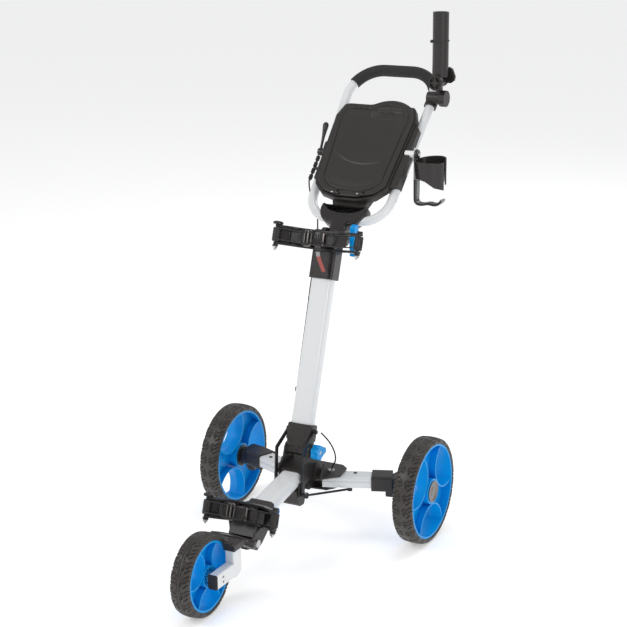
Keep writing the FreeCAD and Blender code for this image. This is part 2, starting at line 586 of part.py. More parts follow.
def make_brake():
    top = brake_pivot
    ear = cyl(V(-146, top.y, top.z), X_AXIS, 11, 14)
    barrels = [rod(handle_point(-145, 2, top_z), handle_point(-145, 2, top_z - 12), 5.5)
               for top_z in (188, 168, 148, 128)]
    link = rod(handle_point(-145, 2, 190), handle_point(-145, 2, 112), 3)
    strap = [cyl(handle_point(-147, 2, 150), X_AXIS, 4, 16)]
    mount = union([mirrored(tube_clip(brake_clip_z, brake_clip_r)), ear, link] + barrels + strap)
    tube = on_handle(swept(loop_path(), loop_r))
    nodes["brake_mount"] = mount.cut(tube).cut(x_disc(-170, -140, top.y, top.z, 3.5))
    tip = top + V(0, 34, 69)
    lever = union([x_disc(-156, -147, top.y, top.z, 10), rod(top, tip, 4), Part.makeSphere(8, tip),
                   x_disc(-158, -141, top.y, top.z, 3.45)])
    nodes["brake_lever"] = lever
    route = [V(-145, 189, 886), V(-138, 172, 862), V(-104, 159, 817), V(-70, 96, 766), V(-48, 40, 708),
             V(-37.5, -4, 664), V(-34.5, -26, 606), V(-34, -92, 404), V(-32, -103, 376)]
    nodes["brake_cable"] = cord(route)
    lower = [V(44, -112, 294), V(52, -108, 282), V(62, -102, 262), V(68, -94, 236), V(66, -86, 212),
             V(60, -80, 198), V(58, -77, 184.7)]
    nodes["hub_cable"] = cord(lower)


def make_cup_holder():
    y, z, r = cup_pivot.y, cup_pivot.z, cup_r
    x0, centre_x = cup_pivot.x, cup_pivot.x + 4 + cup_r
    boss = x_disc(handle_side(cup_clip_z) - 4, x0 - 1, y, z, 9)
    mount = union([tube_clip(cup_clip_z, cup_clip_r), boss, x_disc(x0 - 2, x0 + 10, y, z, 4)])
    nodes["cup_mount"] = mount.cut(on_handle(swept(loop_path(), loop_r)))
    low = z - 128
    hanger = rounded_bar(x0, x0 + 6, y - 13, y + 13, low, z + 12, X_AXIS, 6)
    arms = cyl(V(centre_x, y, low + 54), Z_AXIS, r + 4, 60).cut(cyl(V(centre_x, y, low), Z_AXIS, r, 140))
    gap = prism_xy([(centre_x, y), (centre_x + 90, y - 28), (centre_x + 90, y + 28)], low, z)
    base = [(x0, low - 4), (x0 + 62, low - 4), (x0 + 76, low + 4), (x0 + 80, low + 15), (x0 + 74, low + 16),
            (x0 + 70, low + 8), (x0 + 60, low + 3), (x0 + 6, low + 3), (x0 + 6, low + 12), (x0, low + 12)]
    cup = union([hanger, arms.cut(gap), prism_xz(base, y - 15, y + 15)])
    nodes["cup_holder"] = cup.cut(x_disc(x0 - 2, x0 + 12, y, z, 4 + running_gap))


def make_umbrella_holder():
    tube_x, y, top_z = umbrella_joint.x, umbrella_joint.y, umbrella_joint.z
    clamp = union([tube_clip(umbrella_clip_z, umbrella_clip_r), x_disc(120, 146.5, y, swivel_z, 17)])
    clamp = clamp.cut(on_handle(swept(loop_path(), loop_r)))
    nodes["umbrella_clamp"] = union([clamp, x_disc(146, 170, y, swivel_z, 4)])

    drum = cyl(V(tube_x, y - 13, top_z), Y_AXIS, 12, 26)
    plate = box(147, 157, y - 11, y + 11, swivel_z + 4, top_z)
    neck = union([x_disc(146.8, 157, y, swivel_z, 17), plate, drum])
    neck = neck.cut(x_disc(130, 170, y, swivel_z, 4 + running_gap))
    nodes["umbrella_neck"] = neck.cut(cyl(V(tube_x, y - 20, top_z), Y_AXIS, 4, 60))
    knob = lobed_knob(22, 16, 12).rotated(ORIGIN, Y_AXIS, 90).translated(V(157.3, y, swivel_z))
    nodes["swivel_knob"] = knob.cut(x_disc(150, 170.2, y, swivel_z, 4 + running_gap))

    tube = cyl(V(tube_x, y, umbrella_low), Z_AXIS, umbrella_r, umbrella_high - umbrella_low)
    side_y = y + 13.5
    lug = box(tube_x - 10, tube_x + 10, side_y, side_y + 7.5, top_z, umbrella_low + 6)
    lever_outline = [(6, -4), (24, -5), (34, 2), (36, 13), (28, 33), (18, 38)]
    lever = prism_xz([(tube_x + x, top_z + z) for x, z in lever_outline], side_y, side_y + 7.5)
    holder = union([tube, lug, cyl(V(tube_x, side_y, top_z), Y_AXIS, 14, 7.5), lever])
    holder = holder.cut(cyl(V(tube_x, y, umbrella_low + 14), Z_AXIS, umbrella_bore_r, 400))
    nodes["umbrella_tube"] = holder.fuse(cyl(V(tube_x, y - 2, top_z), Y_AXIS, 3.9, 24))

    wheel = cyl(V(tube_x, y - 34, top_z), Y_AXIS, 20, 12)
    recess = cyl(V(tube_x, y - 36, top_z), Y_AXIS, 16, 8).cut(cyl(V(tube_x, y - 37, top_z), Y_AXIS, 7, 12))
    sector = box(tube_x + 1.8, tube_x + 22, y - 38, y - 20, top_z + 1.8, top_z + 22)
    for k in range(4):
        wheel = wheel.cut(recess.common(sector.rotated(V(tube_x, y, top_z), Y_AXIS, 90 * k)))
    hub = cyl(V(tube_x, y - 23, top_z), Y_AXIS, 9, 9.5)
    nodes["tilt_knob"] = union([wheel, hub, cyl(V(tube_x, y - 20, top_z), Y_AXIS, 3.9, 17)])


def make_latches():
    y, z = handle_axis.y, handle_axis.z
    lever = prism_yz([(y - 12, z + 34), (y + 8, z + 38), (y + 12, z + 4), (y + 2, z - 44), (y - 14, z - 46),
                      (y - 16, z - 6)], 50, 64)
    lever = filleted(lever, 5, X_AXIS)
    nodes["handle_latch"] = lever.cut(x_disc(40, 70, y, z, 5 + running_gap))
    fold = lobed_knob(20, 19, 6).rotated(ORIGIN, Y_AXIS, 90).translated(V(43, barrel.y, barrel.z))
    paddle = prism_yz([(-146, 246), (-112, 238), (-106, 244), (-108, 254), (-142, 268)], 46, 58)
    nodes["mast_latch"] = union([fold, paddle]).cut(x_disc(40, 70, barrel.y, barrel.z, 5 + running_gap))


def main():
    make_rear_wheels()
    make_front_wheel()
    make_arms()
    make_hub()
    make_fold_links()
    make_mast()
    make_cradles()
    make_front()
    make_handle()
    make_brake()
    make_cup_holder()
    make_umbrella_holder()
    make_latches()
    os.makedirs("parts", exist_ok=True)
    for name, shape in sorted(nodes.items()):
        state = "" if shape.isValid() and shape.Volume > 0 else "  NOT VALID"
        print(f"{name}: {len(shape.Solids)} solid(s), {shape.Volume / 1000:.1f} cm3{state}")
        shape.exportStep(f"parts/{name}.step")


main()
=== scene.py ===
"""The looks of a golf push trolley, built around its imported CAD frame. Metres, +Z up."""

import json
import math

import bmesh
import bpy
from mathutils import Matrix, Vector


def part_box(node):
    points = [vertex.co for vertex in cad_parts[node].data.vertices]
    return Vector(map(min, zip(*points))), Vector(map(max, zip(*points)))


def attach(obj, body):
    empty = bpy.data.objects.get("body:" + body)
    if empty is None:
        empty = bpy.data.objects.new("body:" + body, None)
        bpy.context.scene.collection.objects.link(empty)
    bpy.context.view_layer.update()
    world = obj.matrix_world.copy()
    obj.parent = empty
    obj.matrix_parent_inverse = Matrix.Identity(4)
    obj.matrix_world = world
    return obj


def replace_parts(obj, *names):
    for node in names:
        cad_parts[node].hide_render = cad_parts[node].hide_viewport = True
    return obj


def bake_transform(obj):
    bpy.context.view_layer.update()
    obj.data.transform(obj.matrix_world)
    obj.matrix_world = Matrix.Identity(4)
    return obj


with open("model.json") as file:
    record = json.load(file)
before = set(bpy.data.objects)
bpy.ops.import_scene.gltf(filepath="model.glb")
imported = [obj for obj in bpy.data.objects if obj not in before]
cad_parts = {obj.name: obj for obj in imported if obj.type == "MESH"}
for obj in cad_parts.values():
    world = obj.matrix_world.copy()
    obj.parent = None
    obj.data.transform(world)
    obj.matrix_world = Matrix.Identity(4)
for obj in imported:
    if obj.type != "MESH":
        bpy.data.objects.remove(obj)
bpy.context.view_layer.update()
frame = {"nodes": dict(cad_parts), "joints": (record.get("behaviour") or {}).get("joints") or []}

MM = 0.001
nodes = frame["nodes"]
joints = {joint["name"]: joint for joint in frame["joints"]}


# ---- camera, floor and light ----
def make_camera():
    """A long lens in front of the trolley, to its right and a little above it."""
    azimuth, elevation, roll = math.radians(28.469), math.radians(16.004), math.radians(-0.556)
    level_right = Vector((math.cos(azimuth), math.sin(azimuth), 0))
    back = Vector((math.sin(azimuth) * math.cos(elevation), -math.cos(azimuth) * math.cos(elevation),
                   math.sin(elevation)))
    level_up = back.cross(level_right)
    right = level_right * math.cos(roll) + level_up * math.sin(roll)
    up = level_up * math.cos(roll) - level_right * math.sin(roll)
    data = bpy.data.cameras.new("camera")
    data.sensor_width = 36.0
    data.lens = 91.0
    camera = bpy.data.objects.new("camera", data)
    place = Matrix((right, up, back)).transposed().to_4x4()
    place.translation = Vector((1.86582, -3.50206, 1.71782))
    camera.matrix_world = place
    bpy.context.scene.collection.objects.link(camera)
    bpy.context.scene.camera = camera


def area_light(name, location, target, size, power):
    data = bpy.data.lights.new(name, "AREA")
    data.shape = "RECTANGLE"
    data.size, data.size_y = size
    data.energy = power
    light = bpy.data.objects.new(name, data)
    light.location = location
    aim = Vector(target) - Vector(location)
    light.rotation_euler = aim.to_track_quat("-Z", "Y").to_euler()
    bpy.context.scene.collection.objects.link(light)


def make_studio():
    middle = (0, 0, 0.6)
    area_light("key_light", (-2.6, -3.4, 3.6), middle, (1.6, 2.0), 66)
    area_light("fill_light", (3.6, -2.2, 2.2), middle, (0.8, 2.4), 30)
    area_light("top_light", (0.4, 0.6, 4.2), middle, (2.0, 2.0), 26)
    area_light("rim_light", (1.2, 3.8, 2.8), middle, (2.0, 1.2), 34)
    world = bpy.data.worlds.new("studio")
    world.use_nodes = True
    background = world.node_tree.nodes["Background"]
    background.inputs["Color"].default_value = (0.98, 0.985, 1.0, 1)
    background.inputs["Strength"].default_value = 0.52
    bpy.context.scene.world = world
    bpy.context.scene.view_settings.view_transform = "Standard"

    mesh = bpy.data.meshes.new("floor")
    half = 40.0
    corners = [(-half, -half, 0), (half, -half, 0), (half, half, 0), (-half, half, 0)]
    mesh.from_pydata(corners, [], [(0, 1, 2, 3)])
    floor = bpy.data.objects.new("floor", mesh)
    paper = surface("studio_floor", (0.97, 0.97, 0.97), 0.8, grain=0.02, relief=0.0, tint=0.01)
    shader = paper.node_tree.nodes["Principled BSDF"]
    shader.inputs["Emission Color"].default_value = (1, 1, 1, 1)
    shader.inputs["Emission Strength"].default_value = 0.36
    mesh.materials.append(paper)
    bpy.context.scene.collection.objects.link(floor)


# ---- materials ----
def add(tree, kind, inputs=None, **settings):
    """One shader node. An input is a number, a colour or the output socket of another node."""
    node = tree.nodes.new(kind)
    for key, value in settings.items():
        setattr(node, key, value)
    for key, value in (inputs or {}).items():
        if isinstance(value, bpy.types.NodeSocket):
            tree.links.new(value, node.inputs[key])
        else:
            node.inputs[key].default_value = value
    return node


def shade(colour, factor):
    return tuple(min(1.0, channel * factor) for channel in colour) + (1.0,)


def surface(name, colour, roughness, grain=0.002, relief=0.00006, tint=0.1, metallic=0.0, coat=0.0,
            edge=0.0008, wear=0.0, worn=None, brushed=False, specular=0.5):
    """A moulded, painted or metal finish: broad variation, fine grain, soft edges and light wear."""
    material = bpy.data.materials.new(name)
    material.use_nodes = True
    tree = material.node_tree
    tree.nodes.clear()
    place = add(tree, "ShaderNodeTexCoord").outputs["Object"]
    if brushed:
        place = add(tree, "ShaderNodeMapping", {"Vector": place, "Scale": (6, 1, 1)}).outputs["Vector"]
    broad = add(tree, "ShaderNodeTexNoise", {"Vector": place, "Scale": 14.0, "Detail": 4.0}).outputs["Fac"]
    fine = add(tree, "ShaderNodeTexNoise",
               {"Vector": place, "Scale": 1 / grain, "Detail": 3.0}).outputs["Fac"]
    blend = add(tree, "ShaderNodeMix", {"Factor": broad}, data_type="RGBA")
    blend.inputs[6].default_value = shade(colour, 1 - tint)
    blend.inputs[7].default_value = shade(colour, 1 + tint)
    base = blend.outputs[2]
    normal = None
    if edge:
        round_edge = add(tree, "ShaderNodeBevel", {"Radius": edge}, samples=4)
        normal = round_edge.outputs["Normal"]
    if edge and wear:
        flat = add(tree, "ShaderNodeNewGeometry").outputs["Normal"]
        turn = add(tree, "ShaderNodeVectorMath", {0: normal, 1: flat},
                   operation="DOT_PRODUCT").outputs["Value"]
        rub = add(tree, "ShaderNodeMapRange",
                  {"Value": turn, "From Min": 0.995, "From Max": 0.8}).outputs["Result"]
        patchy = add(tree, "ShaderNodeMapRange", {"Value": broad, "From Min": 0.4, "From Max": 0.65,
                                                  "To Max": wear}).outputs["Result"]
        amount = add(tree, "ShaderNodeMath", {0: rub, 1: patchy}, operation="MULTIPLY").outputs["Value"]
        blend = add(tree, "ShaderNodeMix", {"Factor": amount, 6: base}, data_type="RGBA")
        blend.inputs[7].default_value = shade(worn or shade(colour, 2.5)[:3], 1)
        base = blend.outputs[2]
    rough = add(tree, "ShaderNodeMapRange", {"Value": fine, "From Min": 0.3, "From Max": 0.7,
                                             "To Min": max(0.03, roughness - 0.07),
                                             "To Max": min(1.0, roughness + 0.07)}).outputs["Result"]
    shader = add(tree, "ShaderNodeBsdfPrincipled", {"Base Color": base, "Roughness": rough,
                                                    "Metallic": metallic, "Coat Weight": coat,
                                                    "Specular IOR Level": specular})
    if relief:
        bump = add(tree, "ShaderNodeBump", {"Height": fine, "Distance": relief})
        if normal:
            tree.links.new(normal, bump.inputs["Normal"])
        normal = bump.outputs["Normal"]
    if normal:
        tree.links.new(normal, shader.inputs["Normal"])
    output = add(tree, "ShaderNodeOutputMaterial")
    tree.links.new(shader.outputs["BSDF"], output.inputs["Surface"])
    return material


def make_materials():
    return {
        "white_paint": surface("white_paint", (0.76, 0.775, 0.785), 0.22, grain=0.0012, relief=0.00003,
                               tint=0.012, coat=0.5, edge=0.0012, wear=0.35, worn=(0.5, 0.5, 0.5)),
        "black_plastic": surface("black_plastic", (0.027, 0.0232, 0.0215), 0.4, grain=0.0009,
                                 relief=0.00012, tint=0.18, wear=0.5, worn=(0.07, 0.068, 0.066),
                                 specular=0.42),
        "smooth_plastic": surface("smooth_plastic", (0.021, 0.0182, 0.0170), 0.26, grain=0.0015,
                                  relief=0.00003, tint=0.12, wear=0.4, worn=(0.06, 0.06, 0.06)),
        "blue_plastic": surface("blue_plastic", (0.0, 0.32, 0.78), 0.34, grain=0.0013, relief=0.00005,
                                tint=0.06, edge=0.0012, wear=0.2, specular=0.3, worn=(0.08, 0.47, 0.92)),
        "tyre": surface("tyre", (0.043, 0.037, 0.033), 0.42, grain=0.0011, relief=0.00012, tint=0.2,
                        edge=0.0005, wear=0.6, worn=(0.09, 0.087, 0.083)),
        "steel": surface("steel", (0.55, 0.55, 0.56), 0.28, grain=0.0008, relief=0.00004, tint=0.08,
                         metallic=1.0, edge=0.0004, brushed=True),
        "black_steel": surface("black_steel", (0.018, 0.018, 0.019), 0.35, grain=0.001, relief=0.00005,
                               tint=0.15, metallic=0.3, edge=0.0005, wear=0.5, worn=(0.12, 0.12, 0.12)),
        "grey_metal": surface("grey_metal", (0.22, 0.20, 0.19), 0.33, grain=0.0007, relief=0.00006,
                              tint=0.12, metallic=1.0, edge=0.0005, brushed=True),
        "black_strap": surface("black_strap", (0.022, 0.0195, 0.0183), 0.42, grain=0.0007, relief=0.0002,
                               tint=0.2),
        "cable_sheath": surface("cable_sheath", (0.017, 0.017, 0.018), 0.4, grain=0.001, relief=0.00005,
                                tint=0.15),
        "grip_foam": surface("grip_foam", (0.022, 0.021, 0.021), 0.82, grain=0.0011, relief=0.0004,
                             tint=0.22),
        "patch_grey": surface("patch_grey", (0.30, 0.31, 0.31), 0.7, grain=0.0006, relief=0.00015,
                              tint=0.1),
        "patch_red": surface("patch_red", (0.36, 0.085, 0.075), 0.75, grain=0.0006, relief=0.00015,
                             tint=0.15),
        "white_plastic": surface("white_plastic", (0.82, 0.83, 0.83), 0.3, grain=0.001, relief=0.00004,
                                 tint=0.015),
    }


def finish_frame(materials):
    """Each carried CAD node takes the finish of its slot, or a glossier or darker one."""
    glossy = {"handle_clamp", "cup_holder", "umbrella_tube", "mast_head", "upper_cradle", "lower_cradle"}
    dark = {"upper_posts", "lower_posts"}
    for name, node in nodes.items():
        slot = node.data.materials[0].name.split(".")[0] if node.data.materials else ""
        finish = "smooth_plastic" if name in glossy else "black_steel" if name in dark else slot
        material = materials.get(finish)
        if material is None:
            print("no finish for", name, slot)
            continue
        node.data.materials.clear()
        node.data.materials.append(material)


# ---- places and mesh tools; drawings are in millimetres and the frames below bring them to metres ----
def leaning_frame(origin, lean):
    """Z points up a member that leans back by an angle in degrees."""
    turn = Matrix.Rotation(math.radians(-lean), 4, "X")
    return Matrix.Translation(Vector(origin)) @ turn @ Matrix.Scale(MM, 4)


world_frame = Matrix.Scale(MM, 4)
barrel = Vector(joints["mast_fold"]["pos_m"])
mast_lean, handle_lean = 18.53, 43.5
mast_frame = leaning_frame(barrel, mast_lean)
upper_cradle_frame = mast_frame @ Matrix.Translation((0, 0, 541))
handle_frame = leaning_frame((0, 0.113, 0.806), handle_lean)
lower_cradle_frame = leaning_frame((0, -0.408, 0.174), mast_lean)


def piece(name, verts, faces, place, body, slot, finish=None, smooth=True):
    """A mesh piece from points in millimetres. It rides on a body, or on none."""
    mesh = bpy.data.meshes.new(name)
    mesh.from_pydata([place @ Vector(v) for v in verts], [], faces)
    mesh.validate()
    mesh.materials.append(materials[finish or slot])
    if smooth:
        mesh.shade_smooth()
        mesh.set_sharp_from_angle(angle=math.radians(38))
    obj = bpy.data.objects.new(name, mesh)
    bpy.context.scene.collection.objects.link(obj)
    if body:
        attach(obj, body)
    return obj


def grid_faces(rows, columns, wrap_rows=False, wrap_columns=False):
    """Quads over points that are listed row by row."""
    faces = []
    for i in range(rows if wrap_rows else rows - 1):
        for j in range(columns if wrap_columns else columns - 1):
            a, b = i * columns, ((i + 1) % rows) * columns
            k = (j + 1) % columns
            faces.append((a + j, a + k, b + k, b + j))
    return faces


def lathe(profile, steps=72, axis="X", centre=(0, 0, 0)):
    """Turns a closed profile of (along, radius) points about an axis."""
    verts = []
    for i in range(steps):
        turn = 2 * math.pi * i / steps
        for along, radius in profile:
            a, b = radius * math.cos(turn), radius * math.sin(turn)
            point = {"X": (along, a, b), "Y": (a, along, -b), "Z": (a, b, along)}[axis]
            verts.append(tuple(c + d for c, d in zip(point, centre)))
    return verts, grid_faces(steps, len(profile), wrap_rows=True, wrap_columns=True)


def smooth_line(points, closed=False):
    """Points along the smooth NURBS line that the given points control."""
    curve = bpy.data.curves.new("line", "CURVE")
    curve.dimensions = "3D"
    curve.resolution_u = 10
    spline = curve.splines.new("NURBS")
    spline.points.add(len(points) - 1)
    for control, point in zip(spline.points, points):
        control.co = (*point, 1)
    spline.use_cyclic_u = closed
    spline.order_u = 3
    spline.use_endpoint_u = not closed
    holder = bpy.data.objects.new("line", curve)
    bpy.context.scene.collection.objects.link(holder)
    bpy.context.view_layer.update()
    mesh = bpy.data.meshes.new_from_object(holder)
    line = [v.co.copy() for v in mesh.vertices]
    bpy.data.objects.remove(holder)
    bpy.data.curves.remove(curve)
    bpy.data.meshes.remove(mesh)
    return line


def sweep(line, section, closed=False, up=(0, 0, 1)):
    """A section of (side, height) points carried along a line, its height kept near a direction."""
    verts, count = [], len(line)
    for i, point in enumerate(line):
        before = line[(i - 1) % count] if closed else line[max(i - 1, 0)]
        after = line[(i + 1) % count] if closed else line[min(i + 1, count - 1)]
        along = (Vector(after) - Vector(before)).normalized()
        side = along.cross(Vector(up)).normalized()
        height = side.cross(along)
        verts += [tuple(Vector(point) + side * u + height * v) for u, v in section]
    faces = grid_faces(count, len(section), wrap_rows=closed, wrap_columns=True)
    if not closed:
        last = (count - 1) * len(section)
        faces += [tuple(range(len(section))), tuple(last + k for k in reversed(range(len(section))))]
    return verts, faces


def round_section(radius, steps=14):
    return [(radius * math.cos(2 * math.pi * k / steps), radius * math.sin(2 * math.pi * k / steps))
            for k in range(steps)]


def flat_section(width, height, corner=0.5):
    """A flat strip's section: thin across, tall up, with cut corners."""
    w, h, c = width / 2, height / 2, corner
    return [(w, -h + c), (w, h - c), (w - c, h), (-w + c, h), (-w, h - c), (-w, -h + c), (-w + c, -h),
            (w - c, -h)]


def cord_piece(name, points, radius, place, body, slot="cable_sheath", finish=None, closed=False,
               up=(0.3, 0.2, 1)):
    verts, faces = sweep(smooth_line(points, closed), round_section(radius), closed, up)
    return piece(name, verts, faces, place, body, slot, finish)


def block(centre, size, corner=1.5):
    """A box with rounded edges, as points and faces."""
    mesh = bmesh.new()
    bmesh.ops.create_cube(mesh, size=1.0, matrix=Matrix.Translation(centre) @ Matrix.Diagonal((*size, 1)))
    bmesh.ops.bevel(mesh, geom=mesh.edges[:], offset=corner, segments=3, profile=0.5, affect="EDGES")
    mesh.verts.ensure_lookup_table()
    verts = [tuple(v.co) for v in mesh.verts]
    faces = [tuple(v.index for v in face.verts) for face in mesh.faces]
    mesh.free()
    return verts, faces


def joined(*shapes):
    verts, faces = [], []
    for shape_verts, shape_faces in shapes:
        start = len(verts)
        verts += shape_verts
        faces += [tuple(start + k for k in face) for face in shape_faces]
    return verts, faces


def turned(shape, turn):
    verts, faces = shape
    return [tuple(turn @ Vector(v)) for v in verts], faces


def pan_screw(centre, radius, height, axis):
    """A domed screw head with a cross recess, standing on a face along an axis."""
    profile = [(0, 0.01), (0, radius), (0.35 * height, radius), (0.8 * height, 0.72 * radius),
               (height, 0.3 * radius), (height, 0.01)]
    return lathe([(a, r) for a, r in profile], 24, axis, centre)


# ---- tyres ----
def tyre_profile(radius, half, depth):
    """The outline across a tyre from bead to bead, as (across, radius) points with their share of tread."""
    shoulder, crown, inner = 9.0, 1.6, radius - depth
    points = [(half - 5, inner), (half - 2, inner + 0.6), (half - 0.3, inner + 3), (half, inner + 5)]
    bend_top = radius - shoulder - crown
    points += [(half, bend_top - 1)]
    for k in range(9):
        turn = math.radians(90 * k / 8)
        points.append((half - shoulder + shoulder * math.cos(turn), bend_top + shoulder * math.sin(turn)))
    flat = half - shoulder
    steps = 30
    for k in range(1, steps):
        across = flat - 2 * flat * k / steps
        points.append((across, radius - crown * (across / flat) ** 2))
    points += [(-a, r) for a, r in reversed(points[:14])]
    return points


def groove(distance, width):
    """The depth share of a groove with sloping sides, at a distance from its middle."""
    return max(0.0, 1 - (distance / width) ** 2) if abs(distance) < width else 0.0


def near_line(point, line):
    """The distance from a point to a broken line, in the plane."""
    best = 1e9
    for a, b in zip(line, line[1:]):
        edge, away = b - a, point - a
        share = min(1.0, max(0.0, away.dot(edge) / edge.length_squared))
        best = min(best, (away - edge * share).length)
    return best


def tread_grooves(half):
    """One repeat of one side's tread: two hooked grooves and a short bar, as (along, across) lines."""
    long_one = [(13, 0.17), (4, 0.19), (0, 0.3), (3, 0.44), (4, 0.56), (-1, 0.72), (-4, 0.86), (-4, 1.04)]
    second = [(20, 0.3), (12, 0.33), (10, 0.42), (13, 0.54), (13, 0.64), (8, 0.78), (5, 0.9), (5, 1.04)]
    bar = [(25, 0.5), (24, 0.62), (19, 0.76), (17, 0.86)]
    return [([Vector((along, share * half)) for along, share in line], width)
            for line, width in ((long_one, 2.6), (second, 2.3), (bar, 1.9))]


def tread_depth(along, across, pitch, grooves, centre_ridge):
    """How far the tread is cut at a place: hooked side grooves that alternate, and rings round the middle."""
    side = 1 if across > 0 else -1
    along = side * along + (0.5 * pitch if side < 0 else 0.0)
    cut = 0.0
    for line, width in grooves:
        offset = (along - 8 + 0.5 * pitch) % pitch - 0.5 * pitch + 8
        for shift in (-pitch, 0.0, pitch):
            place = Vector((offset + shift, abs(across)))
            if -8 < place.x < 30:
                cut = max(cut, groove(near_line(place, line), width))
    if centre_ridge:
        cut = max(cut, 0.8 * groove(abs(across) - 3.4, 1.6))
    return cut


def make_tyre(name, body, centre, radius, half, centre_ridge):
    depth, cut_depth, steps = 15.8, 3.2, 900 if radius > 120 else 660
    profile = tyre_profile(radius, half, depth)
    around = 2 * math.pi * radius
    pitch = around / round(around / 36.0)
    grooves, verts = tread_grooves(half), []
    for i in range(steps):
        turn = 2 * math.pi * i / steps
        for across, r in profile:
            cut = 0.0
            if r > radius - 11:
                cut = cut_depth * tread_depth(turn * radius, across, pitch, grooves, centre_ridge)
            ring = 0.5 * groove(r - (radius - 12.0), 0.9) if abs(across) > half - 1 else 0.0
            height, pull = r - cut * (0.35 if abs(across) > half - 2 else 1.0), 1 - (cut * 0.5 + ring) / half
            verts.append((across * pull, height * math.cos(turn), height * math.sin(turn)))
    faces = grid_faces(steps, len(profile), wrap_rows=True, wrap_columns=True)
    place = Matrix.Translation(centre) @ Matrix.Scale(MM, 4)
    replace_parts(piece(name + "_treaded", verts, faces, place, body, "tyre"), name)


def make_tyres():
    rear_radius, rear_half, front_radius, front_half = 140.0, 28.0, 101.6, 26.0
    for side in ("right", "left"):
        centre = Vector(joints[f"wheel_{side}_spin"]["pos_m"])
        make_tyre("rear_tyre_" + side, "wheel_" + side, centre, rear_radius, rear_half, False)
    centre = Vector(joints["front_wheel_spin"]["pos_m"])
    make_tyre("front_tyre", "front_wheel", centre, front_radius, front_half, True)


def make_hub_caps():
    """A dished metal cap with a raised rim and a domed middle."""
    profile = [(0, 0.01), (0, 28), (3, 28), (3, 25.5), (2.2, 24), (1.0, 22.5), (0.8, 18), (1.6, 12),
               (2.2, 11), (2.4, 6), (2.9, 4), (3.0, 0.01)]
    for side, sign in (("right", 1), ("left", -1)):
        start = joints[f"wheel_{side}_spin"]["pos_m"]
        place = Matrix.Translation(start) @ Matrix.Scale(MM, 4)
        verts, faces = lathe([(sign * (26.0 + a), r) for a, r in profile], 64)
        cap = piece("hub_cap_plate_" + side, verts, faces, place, "wheel_" + side, "grey_metal")
        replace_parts(cap, "hub_cap_" + side)


